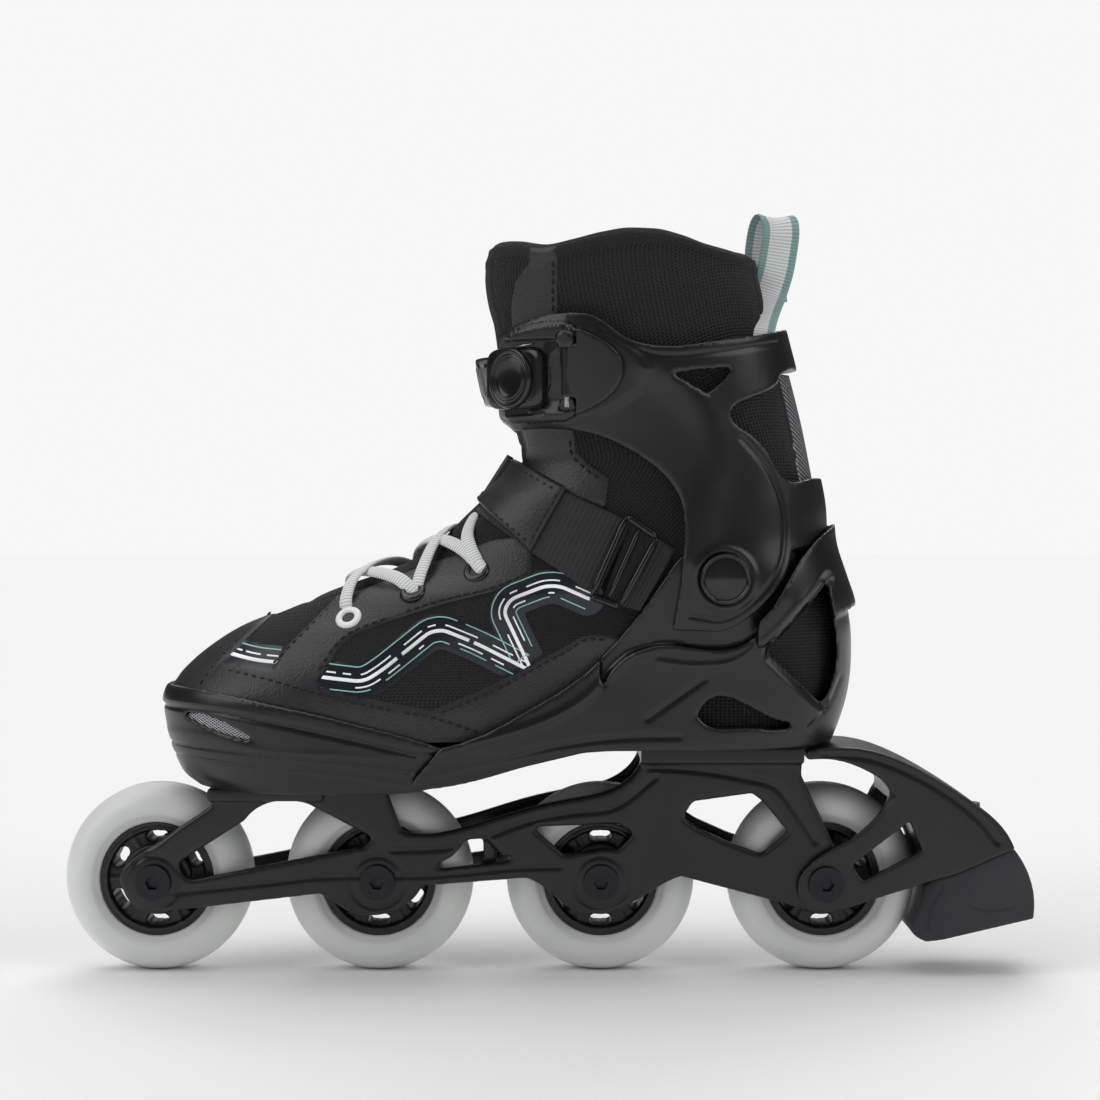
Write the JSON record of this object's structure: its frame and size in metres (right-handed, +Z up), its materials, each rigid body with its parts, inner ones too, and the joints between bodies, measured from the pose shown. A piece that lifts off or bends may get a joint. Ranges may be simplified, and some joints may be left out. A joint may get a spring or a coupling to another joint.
{
  "type": "inline skate",
  "caption": "Size-adjustable inline skate: soft boot in hard shells, hinged cuff with micro buckle, inline wheels in a plastic frame and a heel brake.",
  "frame": {"origin": "on the ground plane, under the middle of the skate's length and width", "axes": "+X from toe to heel brake, +Z up, +Y across to the far side"},
  "size_m": [0.3901, 0.1067, 0.3018],
  "materials": {
    "shell_black": "satin moulded plastic",
    "frame_black": "satin glass-filled plastic",
    "hub_black": "satin moulded plastic",
    "tyre_white": "translucent white urethane",
    "steel": "ground steel",
    "black_steel": "black oxide steel",
    "pad_rubber": "moulded rubber",
    "knit_black": "knitted mesh",
    "foam_grey": "foam with brushed liner",
    "webbing_black": "ribbed webbing",
    "lace_white": "braided lace",
    "eyelet_white": "gloss plastic",
    "gloss_black": "gloss moulded plastic",
    "mesh_silver": "silver mesh",
    "loop_webbing": "two-tone webbing",
    "reflective_grey": "reflective tape"
  },
  "bodies": {
    "skate_base": {"frame": "frame_black", "bearing_inner_races": "steel", "axle_spacers": "steel", "axle_bolts": "black_steel", "axle_sleeve_nuts": "black_steel", "boot_mount_bolts": "black_steel", "brake_arm": "frame_black", "brake_pad": "pad_rubber", "brake_pad_screw": "black_steel", "heel_shell": "shell_black", "upper_rear": "knit_black", "insole": "foam_grey", "tongue": "knit_black", "eyelets": "eyelet_white", "lace": "lace_white", "instep_strap": "webbing_black", "strap_ring": "gloss_black", "strap_anchor": "webbing_black"},
    "toe_slider": {"toe_shell": "shell_black", "toe_vent_meshes": "mesh_silver", "upper_toe": "knit_black"},
    "ankle_cuff": {"cuff": "shell_black", "cuff_pivot_rivets": "black_steel", "cuff_pivot_caps": "gloss_black", "shaft_padding": "knit_black", "shin_tongue": "knit_black", "buckle_base": "gloss_black", "buckle_pin": "steel", "buckle_spring": "steel", "ladder_strap": "gloss_black", "ladder_strap_screw": "black_steel", "pull_loop": "loop_webbing", "reflective_strip": "reflective_grey"},
    "cuff_buckle_lever": {"buckle_lever": "shell_black"},
    "buckle_release": {"buckle_button": "gloss_black"},
    "size_lock": {"size_lock_button": "gloss_black"},
    "wheel_1": {"wheel_1_tyre": "tyre_white", "wheel_1_hub": "hub_black", "wheel_1_bearings": "steel"},
    "wheel_2": {"wheel_2_tyre": "tyre_white", "wheel_2_hub": "hub_black", "wheel_2_bearings": "steel"},
    "wheel_3": {"wheel_3_tyre": "tyre_white", "wheel_3_hub": "hub_black", "wheel_3_bearings": "steel"},
    "wheel_4": {"wheel_4_tyre": "tyre_white", "wheel_4_hub": "hub_black", "wheel_4_bearings": "steel"}
  },
  "joints": [
    {"name": "wheel_1_spin", "type": "hinge", "parent": "skate_base", "child": "wheel_1", "pos_m": [-0.1568, 0, 0.038], "axis": [0, 1, 0], "continuous": true},
    {"name": "wheel_2_spin", "type": "hinge", "parent": "skate_base", "child": "wheel_2", "pos_m": [-0.0673, 0, 0.038], "axis": [0, 1, 0], "continuous": true},
    {"name": "wheel_3_spin", "type": "hinge", "parent": "skate_base", "child": "wheel_3", "pos_m": [0.0222, 0, 0.038], "axis": [0, 1, 0], "continuous": true},
    {"name": "wheel_4_spin", "type": "hinge", "parent": "skate_base", "child": "wheel_4", "pos_m": [0.1117, 0, 0.038], "axis": [0, 1, 0], "continuous": true},
    {"name": "cuff_flex", "type": "hinge", "parent": "skate_base", "child": "ankle_cuff", "pos_m": [0.0692, 0, 0.1605], "axis": [0, -1, 0], "range_deg": [-3, 8], "stiffness_Nm_per_rad": 3},
    {"name": "toe_size_slide", "type": "slide", "parent": "skate_base", "child": "toe_slider", "axis": [-1, 0, 0], "range_m": [0, 0.015]},
    {"name": "buckle_lever_lift", "type": "hinge", "parent": "ankle_cuff", "child": "cuff_buckle_lever", "pos_m": [0.0084, -0.04762, 0.24], "axis": [0, 0, -1], "range_deg": [0, 85]},
    {"name": "buckle_button_press", "type": "slide", "parent": "ankle_cuff", "child": "buckle_release", "axis": [0, 1, 0], "range_m": [0, 0.002], "stiffness_N_per_m": 600, "springref_m": -0.001},
    {"name": "size_lock_press", "type": "slide", "parent": "skate_base", "child": "size_lock", "axis": [0, -1, 0], "range_m": [0, 0.0025], "stiffness_N_per_m": 600, "springref_m": -0.001}
  ]
}
